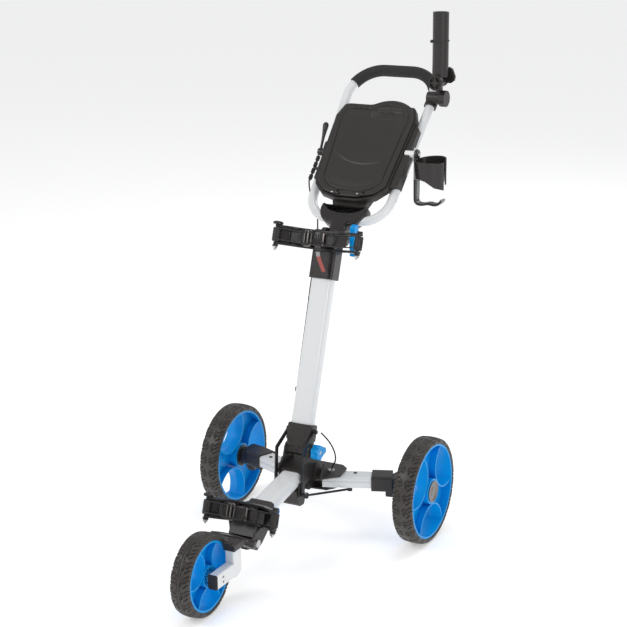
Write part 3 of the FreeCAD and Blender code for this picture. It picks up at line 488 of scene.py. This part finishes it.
# ---- console lid ----
def make_lid():
    """The lid's face as one relief: rounded rim, seam, crowned panel, swept step, hump and finger notch."""
    half, low, high, hump_at, hump_r = 118.0, 44.0, 346.0, (34.0, 268.0), 93.0
    corners = [(-half + 12, low + 42), (-half + 40, low + 14), (-30, low), (30, low), (half - 40, low + 14),
               (half - 12, low + 42), (half + 2, high - 40), (half - 14, high), (-half + 14, high),
               (-half - 2, high - 40)]
    corners = [(0.955 * x, low + 9 + 0.965 * (z - low)) for x, z in corners]
    middle = Vector((0, 0.5 * (low + high)))

    def reach(direction):
        """How far the outline is from the middle in a direction, with the hump's bulge."""
        best = 0.0
        for (x0, z0), (x1, z1) in zip(corners, corners[1:] + corners[:1]):
            a, b = Vector((x0, z0)) - middle, Vector((x1, z1)) - middle
            edge = b - a
            cross = direction.x * edge.y - direction.y * edge.x
            if abs(cross) > 1e-9:
                t = (a.x * edge.y - a.y * edge.x) / cross
                u = (a.x * direction.y - a.y * direction.x) / cross
                if t > 0 and -1e-6 <= u <= 1 + 1e-6:
                    best = max(best, t)
        to_hump = Vector(hump_at) - middle
        along = direction.dot(to_hump)
        miss = to_hump.length_squared - along * along
        if miss < hump_r ** 2:
            far = along + math.sqrt(hump_r ** 2 - miss)
            if middle.y + far * direction.y > high - 16:
                best = max(best, far)
        return best

    spokes, rings, face_y, back_y = 420, 96, -36.0, -30.5
    directions = [Vector((math.cos(2 * math.pi * k / spokes), math.sin(2 * math.pi * k / spokes)))
                  for k in range(spokes)]
    reaches = [reach(direction) for direction in directions]
    soft = 4
    reaches = [sum(reaches[(k + j) % spokes] for j in range(-soft, soft + 1)) / (2 * soft + 1)
               for k in range(spokes)]
    outline = [middle + direction * length for direction, length in zip(directions, reaches)]

    def edge_distance(point, spoke):
        near = range(spoke - 40, spoke + 41)
        return min((outline[k % spokes] - point).length for k in near)

    def ease(value):
        value = min(1.0, max(0.0, value))
        return value * value * (3 - 2 * value)

    def front(point, distance):
        """Distance of the lid's face behind the handle's plane, as a negative number."""
        face = face_y
        if distance < 4:
            face += 4 - math.sqrt(max(0.0, 16 - (4 - distance) ** 2))
        face += 2.4 * groove(distance - 17.0, 1.9)
        face -= 2.0 * ease((distance - 19) / 30)
        sweep_z = low + 112 + 0.0042 * (point.x - 8) ** 2
        face += 1.3 * ease((sweep_z - point.y) / 5) * ease((distance - 24) / 6)
        lip = ((point.x - 36) / 47) ** 4 + ((point.y - (high - 30)) / 18) ** 4
        face += 1.1 * ease((1.1 - lip) / 0.25)
        notch = ((point.x - 36) / 38) ** 4 + ((point.y - (high - 30)) / 9) ** 4
        face += 1.6 * ease((1.25 - notch) / 0.5)
        grip = ((point.x - 32) / 22) ** 4 + ((point.y - (high - 27)) / 4.5) ** 4
        face += 2.4 * ease((1.25 - grip) / 0.5)
        return face

    verts = []
    for ring in range(rings):
        share = 1 - (ring / (rings - 1)) ** 1.15
        for k in range(spokes):
            point = middle + (outline[k] - middle) * max(share, 0.004)
            distance = edge_distance(point, k) if share > 0.6 else (1 - share) * reaches[k]
            verts.append((point.x, front(point, distance), point.y))
    back_start = len(verts)
    verts += [(point.x, back_y, point.y) for point in outline]
    faces = grid_faces(rings, spokes, wrap_columns=True)
    faces.append(tuple(range(back_start - spokes, back_start)))
    faces += [(back_start + k, back_start + (k + 1) % spokes, (k + 1) % spokes, k) for k in range(spokes)]
    faces.append(tuple(reversed(range(back_start, back_start + spokes))))
    lid = piece("console_lid_face", verts, faces, handle_frame, "lid", "black_plastic")
    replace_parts(lid, "console_lid")

    # The lid's slots are small raised blocks in the darker cable-sheath finish: painted shade standing for
    # the shade inside the slots.
    slots = [block((x, -36.4, high - 14 - 0.02 * x), (3.2, 1.6, 8), 0.7) for x in (-82, -66, -50, -34)]
    piece("lid_slot_painted_shade", *joined(*slots), handle_frame, "lid", "black_plastic", "cable_sheath")
    for x, z in ((-30.0, 62.0), (44.0, 63.0)):
        name = "left" if x < 0 else "right"
        shank = block((x, -39, z), (5, 8, 15), 1.8)
        head = lathe([(-8, 0.01), (-8, 3.0), (8, 3.0), (8, 0.01)], 20, "X", (x, -42, z - 6))
        piece("lid_peg_" + name, *joined(shank, head), handle_frame, "lid", "black_plastic",
              "smooth_plastic")
        piece("lid_peg_pin_" + name, *block((x - 11, -39.5, z - 3), (9, 3, 4), 1.2), handle_frame, "lid",
              "steel")


# ---- straps ----
def make_strap(name, place, body, span, root, end):
    """A rubber strap with moulded teeth across the cradle, its rollers, buckles and elastic loops."""
    post, tall, thick = end - 1, 27.0, 2.8
    control = [(-0.68 * span, root - 35, 0), (-0.45 * span, root - 34, 0), (-0.15 * span, root - 34, 0),
               (0.2 * span, root - 34, 0), (0.5 * span, root - 37, 0), (0.76 * span, post - 13, 0)]
    line = smooth_line(control)
    fine = [line[0]]
    for a, b in zip(line, line[1:]):
        steps = max(1, round((b - a).length / 0.9))
        fine += [a.lerp(b, (k + 1) / steps) for k in range(steps)]
    section, count, length, verts = flat_section(thick, tall, 0.8), len(fine), 0.0, []
    for i, point in enumerate(fine):
        length += (point - fine[max(i - 1, 0)]).length
        along = (fine[min(i + 1, count - 1)] - fine[max(i - 1, 0)]).normalized()
        side = along.cross(Vector((0, 0, 1))).normalized()
        toothed = -0.5 * span < point.x < -0.2 * span or 0.18 * span < point.x < 0.5 * span
        ridge = 2.4 * max(0.0, math.sin(2 * math.pi * length / 6.5)) ** 0.6 if toothed else 0.0
        for u, v in section:
            lift = ridge if u > 0 and abs(v) < 0.47 * tall else 0.0
            verts.append(tuple(point + side * (u + lift) + Vector((0, 0, v))))
    faces = grid_faces(count, len(section), wrap_columns=True)
    last = (count - 1) * len(section)
    faces += [tuple(range(len(section))), tuple(last + k for k in reversed(range(len(section))))]
    band = piece(name + "_strap_band", verts, faces, place, body, "black_strap")
    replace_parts(band, name + "_strap")

    rollers = []
    for x in (span, -span):
        profile = [(-18, 4.2), (-18, 9.6), (-16.5, 10.6)]
        for k in range(11):
            z = -16 + 32 * k / 10
            profile += [(z, 10.8 + (0.5 if k % 2 else 0.0))]
        profile += [(16.5, 10.6), (18, 9.6), (18, 4.2)]
        rollers.append(lathe(profile, 40, "Z", (x, post, 0)))
    piece(name + "_strap_rollers", *joined(*rollers), place, body, "black_strap")

    rounded = []
    for k in range(40):
        turn = 2 * math.pi * k / 40
        c, s = math.cos(turn), math.sin(turn)
        x = 10 * math.copysign(abs(c) ** 0.35, c)
        z = 20 * math.copysign(abs(s) ** 0.35, s)
        rounded.append(Vector((x - 30, root - 38.5, z)))
    ring = sweep(rounded, round_section(2.0, 10), closed=True, up=(0, 1, 0))
    bar = block((-30, root - 39, 0), (4, 3, 38), 1.0)
    piece(name + "_buckle_frame", *joined(ring, bar), place, body, "grey_metal")
    body_block = block((2, root - 40, 0), (22, 10, 36), 2.0)
    teeth = [block((-8 + 5 * k, root - 45.5, 0), (2.2, 2.4, 30), 0.8) for k in range(4)]
    piece(name + "_cam_lock", *joined(body_block, *teeth), place, body, "black_plastic", "smooth_plastic")
    lever = block((16, root - 42, 0), (5, 3, 34), 1.2)
    piece(name + "_cam_lever", *lever, place, body, "grey_metal")
    for x, radius in ((-34.0, 23.0), (30.0, 19.0)):
        loop = [(x + radius * math.cos(t), root - 43 - 2.5 * math.sin(2 * t),
                 0.9 * radius * math.sin(t) + 2) for t in (2 * math.pi * k / 12 for k in range(12))]
        side = "left" if x < 0 else "right"
        cord_piece(f"{name}_elastic_loop_{side}", loop, 1.5, place, body, closed=True, up=(0, 1, 0))

    for z, label in ((14.0, "top"), (-15.0, "bottom")):
        route = [(-span, post - 11, z + 3), (-0.85 * span, post - 14, z + 2),
                 (-0.6 * span, root - 40, z + 1), (-0.25 * span, root - 40, z),
                 (0.25 * span, root - 40, z), (0.6 * span, root - 42, z + 1),
                 (0.88 * span, post - 14, z + 2), (span, post - 12, z + 4)]
        cord_piece(f"{name}_bungee_{label}", route, 1.7, place, body)
    over = [(span - 8, post - 12, 18), (span + 2, post - 14, 20), (span + 11, post - 6, 12),
            (span + 12, post - 2, -4), (span + 9, post - 8, -20), (span - 4, post - 12, -22)]
    cord_piece(name + "_bungee_end", over, 1.7, place, body)

    cap = lathe([(0, 0.01), (0, 10), (1, 13.5), (5.5, 13.5), (8, 11), (9, 5), (9, 0.01)], 40, "Z",
                (-span, post, 26))
    piece(name + "_post_cap", *cap, place, body, "black_plastic", "smooth_plastic")
    nuts = []
    for x in (span, -span):
        nuts.append(lathe([(-5, 0.01), (-5, 6.0), (-4.2, 6.8), (-0.8, 6.8), (0, 6.0), (0, 0.01)], 6, "Z",
                          (x, post, -32)))
        nuts.append(lathe([(-4, 0.01), (-4, 2.6), (0, 3.2), (0, 0.01)], 20, "Z", (x, post, -37)))
    piece(name + "_post_nuts", *joined(*nuts), place, body, "steel", smooth=False)


def make_cradle(name, place, body, span, root, end, open_from):
    """The bag rest behind a strap: two flanged rails, and a web that stops before one end."""
    path = [(-span - 4, end - 2, 0), (-0.8 * span, end + 5, 0), (-0.5 * span, root - 9, 0),
            (-0.2 * span, root - 5, 0), (0.2 * span, root - 5, 0), (0.5 * span, root - 9, 0),
            (0.8 * span, end + 5, 0), (span + 4, end - 2, 0)]
    line = smooth_line(path)
    rail = [(8, -2.2), (8, 2.2), (7, 3), (-7, 3), (-8, 2.2), (-8, -2.2), (-7, -3), (7, -3)]
    web = flat_section(3.2, 44, 0.8)
    shapes = [sweep([point + Vector((0, 0, z)) for point in line], rail) for z in (22.5, -22.5)]
    shapes.append(sweep([point + Vector((0, 4, 0)) for point in line if point.x < open_from * span], web))
    for x in (-0.72 * span, -0.3 * span, 0.3 * span):
        near = min(line, key=lambda point: abs(point.x - x))
        shapes.append(block((near.x, near.y - 1, 0), (3, 12, 42), 1.0))
    shapes.append(block((0, root + 6, 0), (54, 22, 46), 3.0))
    shell = piece(name + "_cradle_shell", *joined(*shapes), place, body, "black_plastic", "smooth_plastic")
    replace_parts(shell, name + "_cradle")


def make_straps():
    upper_size, lower_size = (118, -24, -68), (95, 4, -38)   # span, then the y of the root and of the ends
    make_strap("upper", upper_cradle_frame, "mast", *upper_size)
    make_cradle("upper", upper_cradle_frame, "mast", *upper_size, open_from=0.3)
    make_strap("lower", lower_cradle_frame, "hub", *lower_size)
    make_cradle("lower", lower_cradle_frame, "hub", *lower_size, open_from=0.85)


def make_strap_tail():
    """The hanging end of the upper strap, with a woven patch sewn on it."""
    place = upper_cradle_frame
    line = smooth_line([(4, -66, -10), (5, -70, -24), (8, -62, -44), (15, -50, -66), (24, -38, -90)])
    verts, faces = sweep(line, flat_section(1.8, 17, 0.4), up=(1, 0, 0.1))
    piece("strap_tail", verts, faces, place, "mast", "black_strap")
    lift = [Vector((0, -1.5, 0))] * len(line)
    patches = (("tail_patch_grey", 0.3, 0.48, "patch_grey"), ("tail_patch_red", 0.48, 0.9, "patch_red"))
    for name, start, end, finish in patches:
        part = line[int(start * len(line)):int(end * len(line)) + 1]
        part = [a + b for a, b in zip(part, lift)]
        verts, faces = sweep(part, flat_section(0.9, 11, 0.2), up=(1, 0, 0.1))
        piece(name, verts, faces, place, "mast", "black_strap", finish)


def make_cables():
    """The two sheathed cables, routed across the handle's and the mast's fold."""
    brake_route = [(-145, 189, 886), (-138, 172, 862), (-104, 159, 817), (-70, 96, 766), (-48, 40, 708),
                   (-37.5, -4, 664), (-34.5, -26, 606), (-34, -92, 404), (-32, -103, 376)]
    brake = cord_piece("brake_cable_sheath", brake_route, 2.0, world_frame, None)
    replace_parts(brake, "brake_cable")
    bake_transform(brake)
    hub_route = [(46, -112, 294), (58, -108, 282), (71, -102, 262), (78, -94, 236), (75, -86, 212),
                 (64, -80, 198), (58, -77, 184.7)]
    lower = cord_piece("hub_cable_sheath", hub_route, 2.0, world_frame, None)
    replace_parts(lower, "hub_cable")
    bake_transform(lower)


# ---- clamp, cup holder, levers and fittings ----
def plate(outline, front, back, bevel):
    """A flat plate in the XZ plane with a smooth outline and rounded edges, as points and faces."""
    line = [Vector((p.x, p.z)) for p in smooth_line([(x, 0, z) for x, z in outline], closed=True)]
    count = len(line)
    inward = []
    for i, point in enumerate(line):
        along = (line[(i + 1) % count] - line[i - 1]).normalized()
        inward.append(Vector((-along.y, along.x)))
    area = sum(line[i - 1].x * line[i].y - line[i].x * line[i - 1].y for i in range(count))
    turn = 1 if area > 0 else -1
    angles = [math.radians(90 * k / 4) for k in range(5)]
    fillet = [(bevel * (1 - math.sin(angle)), bevel * (1 - math.cos(angle))) for angle in angles]
    rings = [(front + depth, inset) for depth, inset in reversed(fillet)]
    rings += [(back - depth, inset) for depth, inset in fillet]
    verts = []
    for depth, inset in rings:
        for point, normal in zip(line, inward):
            moved = point + normal * inset * turn
            verts.append((moved.x, depth, moved.y))
    faces = grid_faces(len(rings), count, wrap_columns=True)
    last = (len(rings) - 1) * count
    faces += [tuple(range(count)), tuple(last + k for k in reversed(range(count)))]
    return verts, faces


def make_clamp():
    """The crescent that grips the bottom of the loop, with a plain raised oval and two sunk screws."""
    right = [(0, 15), (24, 16), (44, 23), (57, 37), (66, 38), (69, 22), (63, 0), (45, -18), (20, -27),
             (0, -28)]
    outline = [(x - 4, z) for x, z in right + [(-x, z) for x, z in reversed(right[1:-1])]]
    axis = handle_frame.inverted() @ Vector(joints["handle_fold"]["pos_m"])
    lug = lathe([(-20.5, 5.4), (-20.5, 12), (-19.5, 13), (19.5, 13), (20.5, 12), (20.5, 5.4)], 40, "X",
                tuple(axis))
    neck = block((0, axis.y, 0.5 * (axis.z - 20)), (40, 20, abs(axis.z + 20)), 1.0)
    shell = piece("clamp_shell", *joined(plate(outline, -18, 14.5, 5), lug, neck), handle_frame, "handle",
                  "black_plastic", "smooth_plastic")
    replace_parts(shell, "handle_clamp")
    oval = [(31 * math.cos(t) - 4,
             13.5 * math.sin(t) - 8) for t in (2 * math.pi * k / 16 for k in range(16))]
    rim = [(x * 1.13 + 0.5, (z + 8) * 1.2 - 8) for x, z in oval]
    piece("clamp_badge_rim", *plate(rim, -19.2, -14, 1.0), handle_frame, "handle", "black_plastic",
          "black_plastic")
    piece("clamp_badge", *plate(oval, -20.4, -14, 1.6), handle_frame, "handle", "black_plastic",
          "smooth_plastic")
    screws = [pan_screw((x, -17.6, 20), 4.4, -1.6, "Y") for x in (-56, 48)]
    piece("clamp_screws", *joined(*screws), handle_frame, "handle", "black_steel")


def curved_arm(centre, radius, start, end, top, bottom, thickness, steps=40):
    """A wall round part of a circle. Its top and bottom edges are functions of the share."""
    rows = []
    for i in range(steps + 1):
        share = i / steps
        angle = math.radians(start + (end - start) * share)
        high, low = top(share), bottom(share)
        outer = radius + thickness
        corner = 0.35 * thickness
        section = [(radius, low + corner), (radius, high - corner), (radius + corner, high),
                   (outer - corner, high), (outer, high - corner), (outer, low + corner),
                   (outer - corner, low), (radius + corner, low)]
        rows += [(centre[0] + r * math.cos(angle), centre[1] + r * math.sin(angle), z) for r, z in section]
    faces = grid_faces(steps + 1, 8, wrap_columns=True)
    faces += [tuple(range(8)), tuple(steps * 8 + k for k in reversed(range(8)))]
    return rows, faces


def make_cup_holder():
    """A hanging cup holder: two curved arms with drooping tips, a tapered back and a hooked foot."""
    pivot = Vector(joints["cup_swing"]["pos_m"]) / MM
    x0, y, z = pivot.x, pivot.y, pivot.z
    centre, radius = (x0 + 42, y), 38.0

    def rear_top(share):
        return z - 13 + 9 * math.sin(0.5 * math.pi * share)

    def rear_low(share):
        return z - 66 + 12 * math.sin(math.pi * min(1.0, 1.4 * share)) - 54 * max(0.0, share - 0.8)

    def front_top(share):
        return z - 12 - 3 * share

    def front_low(share):
        return z - 72 + 13 * math.sin(math.pi * min(1.0, 1.35 * share)) - 16 * max(0.0, share - 0.55) / 0.45

    arms = [curved_arm(centre, radius, 180, 352, front_top, front_low, 4.2),
            curved_arm(centre, radius, 180, 22, rear_top, rear_low, 4.2)]
    eye = lathe([(0, 4.3), (0, 12.5), (1.5, 14), (6, 14), (7.5, 12.5), (7.5, 4.3)], 36, "X", (x0, y, z))
    back_outline = [(-13, 0), (-14, -30), (-15, -70), (-14, -118), (-11, -128), (0, -130), (11, -128),
                    (14, -118), (15, -70), (14, -30), (13, 0), (8, 9), (-8, 9)]
    back_verts, back_faces = plate(back_outline, 0, 6, 1.8)
    back = ([(x0 + depth, y + a, z + b) for a, depth, b in back_verts], back_faces)
    foot_path = smooth_line([(x0 + 2, y, z - 112), (x0 + 3, y, z - 122), (x0 + 8, y, z - 130),
                             (x0 + 24, y, z - 131), (x0 + 40, y, z - 126), (x0 + 56, y, z - 129),
                             (x0 + 68, y, z - 127), (x0 + 76, y, z - 119), (x0 + 79, y, z - 114)])
    foot = sweep(foot_path, flat_section(26, 6.5, 2.0), up=(0, 0, 1))
    shell = piece("cup_holder_shell", *joined(*arms, eye, back, foot), world_frame, "cup",
                  "black_plastic", "smooth_plastic")
    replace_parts(shell, "cup_holder")
    strip = block((x0 + 6.4, y, z - 94), (1.6, 12, 48), 0.6)
    piece("cup_holder_strip", *strip, world_frame, "cup", "grey_metal", "patch_grey")
    piece("cup_screw", *pan_screw((x0 + 7, y, z), 5.5, 2.6, "X"), world_frame, "cup", "black_steel")


def make_brake_lever():
    """A slim lever that swells to a rounded end, on a round boss."""
    pivot = Vector(joints["brake_pull"]["pos_m"]) / MM
    reach = Vector((0, 34, 69))
    length = reach.length
    profile = [(0, 0.01), (0, 3.6), (0.3 * length, 3.7), (0.6 * length, 4.6), (0.8 * length, 6.6),
               (0.95 * length, 8.2), (1.02 * length, 7.9), (1.07 * length, 5.8), (1.1 * length, 2.4),
               (1.1 * length, 0.01)]
    spin = Vector((0, 0, 1)).rotation_difference(reach.normalized()).to_matrix()
    stick = turned(lathe(profile, 32, "Z"), spin)
    stick = ([tuple(Vector(v) + pivot) for v in stick[0]], stick[1])
    boss = lathe([(-5, 0.01), (-5, 9), (-4, 10.5), (4, 10.5), (5, 9), (5, 0.01)], 36, "X", tuple(pivot))
    lever = piece("brake_lever_stick", *joined(stick, boss), world_frame, "brake", "black_plastic",
                  "smooth_plastic")
    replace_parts(lever, "brake_lever")


def make_mast_foot():
    """A tapered sleeve where the mast meets its pivot barrel."""
    rows = ((67, 33.2, 23.2), (66, 34.4, 24.4), (40, 34.2, 24.2), (14, 32.6, 22.0), (9, 31.5, 20.5))
    steps, squareness, verts = 48, 0.42, []
    for along, half_w, half_d in rows:
        for k in range(steps):
            turn = 2 * math.pi * k / steps
            c, s = math.cos(turn), math.sin(turn)
            across, deep = math.copysign(abs(c) ** squareness, c), math.copysign(abs(s) ** squareness, s)
            verts.append((half_w * across, half_d * deep, along))
    faces = grid_faces(len(rows), steps, wrap_columns=True)
    faces += [tuple(range(steps)), tuple((len(rows) - 1) * steps + k for k in reversed(range(steps)))]
    piece("mast_foot_sleeve", verts, faces, mast_frame, "mast", "black_plastic", "black_plastic")
    barrel_rings = [lathe([(x, 14), (x, 17.2), (x + 3, 17.2), (x + 3, 14)], 40, "X")
                    for x in (-30, -1.5, 27)]
    piece("mast_barrel_rings", *joined(*barrel_rings), mast_frame, "mast", "black_plastic")


def make_fittings():
    """Screws, cable clips and the umbrella tube's elastic ring."""
    for x, y, side in ((115, -52, "right"), (-139, -53, "left")):
        place = world_frame @ Matrix.Translation((x, y, 173.6))
        piece("arm_screw_" + side, *pan_screw((0, 0, 0), 5.2, 2.6, "Z"), place, "arm_" + side,
              "black_steel")
    clips = [block((-32, -21, 621), (8, 9, 13), 2.0), block((-32.5, -95, 396), (8, 9, 13), 2.0)]
    piece("cable_clips", *joined(*clips), world_frame, "mast", "black_plastic")
    joint = Vector(joints["umbrella_tilt"]["pos_m"]) / MM
    around = [(joint.x + 22.6 * math.cos(t), joint.y + 22.6 * math.sin(t), 1252 + 1.5 * math.sin(t))
              for t in (2 * math.pi * k / 24 for k in range(24))]
    verts, faces = sweep([Vector(p) for p in around], round_section(1.5, 10), closed=True)
    knot = lathe([(-4, 0.01), (-4, 2), (-2.5, 4), (1, 4.4), (3, 3), (4.5, 0.8), (4.5, 0.01)], 20, "Z",
                 (joint.x - 19, joint.y - 16, 1252))
    piece("umbrella_elastic", *joined((verts, faces), knot), world_frame, "umbrella", "cable_sheath")
    axle = Vector(joints["front_wheel_spin"]["pos_m"]) / MM
    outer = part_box("fork_tube")[1].x / MM
    screws = [pan_screw((outer - 0.2, axle.y + 2, axle.z + z), 3.1, 1.4, "X") for z in (6.5, -6.0)]
    piece("fork_screws", *joined(*screws), world_frame, "front_fork", "black_steel")
    cover = lathe([(0, 0.01), (0, 9), (0.6, 9.6), (0.9, 9.2), (0.9, 0.01)], 40, "X",
                  (outer - 0.3, axle.y + 2, axle.z))
    piece("fork_axle_cover", *cover, world_frame, "front_fork", "white_paint")


def make_flap():
    """The smooth leaf-shaped rest above the front wheel, over its ribs."""
    place = leaning_frame((0, -0.455, 0.110), 34.0)
    right = [(0, -75), (30, -73), (55, -60), (65, -38), (58, -16), (38, -3), (0, -1)]
    outline = right + [(-x, y) for x, y in reversed(right[1:-1])]
    verts, faces = plate(outline, -12.5, -4.0, 2.6)
    lifted = [(x, z, -y - 0.0012 * (x * x)) for x, y, z in verts]
    piece("bag_rest_leaf", lifted, [tuple(reversed(face)) for face in faces], place, "front_fork",
          "black_plastic", "smooth_plastic")


make_camera()
materials = make_materials()
make_studio()
finish_frame(materials)
make_cables()
make_tyres()
make_hub_caps()
make_lid()
make_straps()
make_strap_tail()
make_clamp()
make_cup_holder()
make_brake_lever()
make_mast_foot()
make_fittings()
make_flap()
